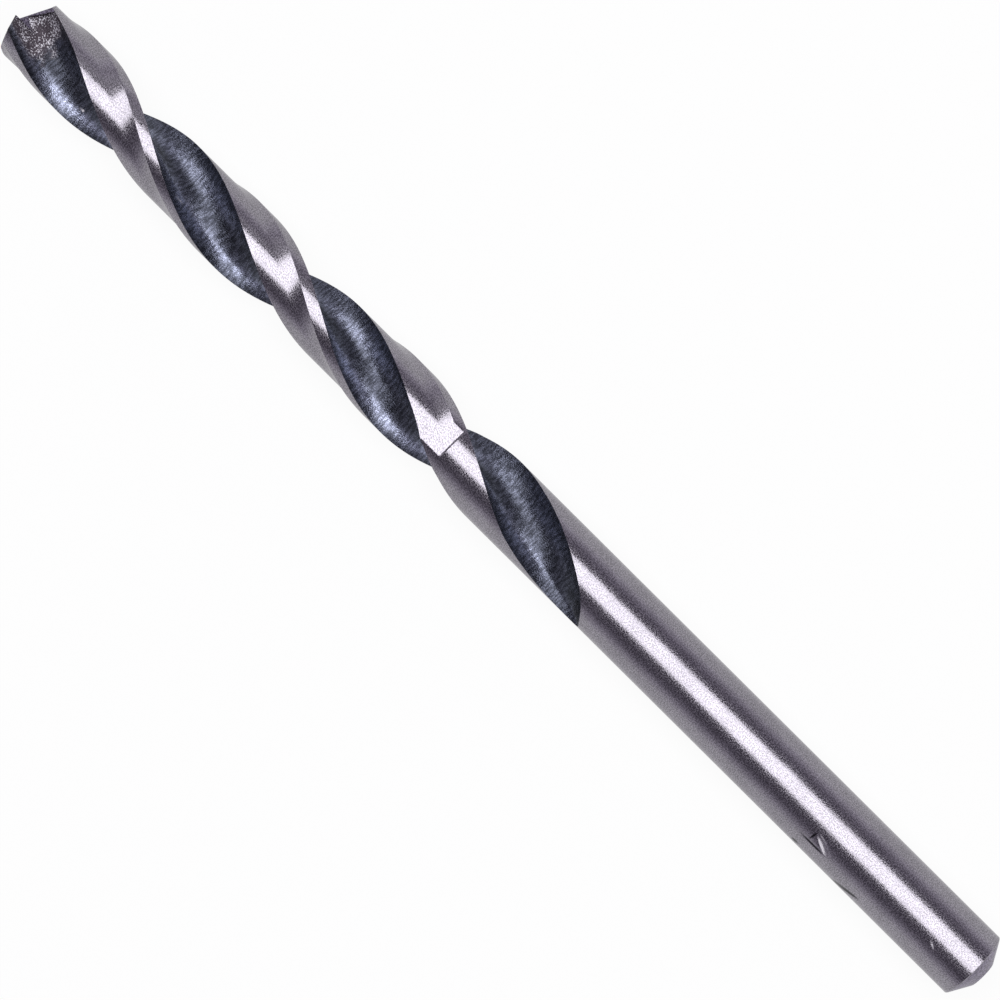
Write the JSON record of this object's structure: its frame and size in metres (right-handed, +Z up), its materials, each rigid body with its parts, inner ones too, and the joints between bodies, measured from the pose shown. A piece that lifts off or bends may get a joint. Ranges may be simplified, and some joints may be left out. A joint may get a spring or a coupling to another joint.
{
  "type": "twist drill bit",
  "caption": "Straight-shank twist drill bit with two right-hand spiral flutes, backed-off lands, a split point and a chamfered plain shank.",
  "frame": {"origin": "centre of the underside of the lying drill, on the surface that it rests on, half way between the point and the shank's end", "axes": "+X along the drill's axis from the point towards the shank's end, +Y across it, +Z up"},
  "size_m": [0.086, 0.005, 0.005],
  "materials": {
    "drill_steel": "ground and oxide-blackened high-speed steel, satin"
  },
  "bodies": {
    "root": {"drill_bit": "drill_steel"}
  },
  "joints": []
}
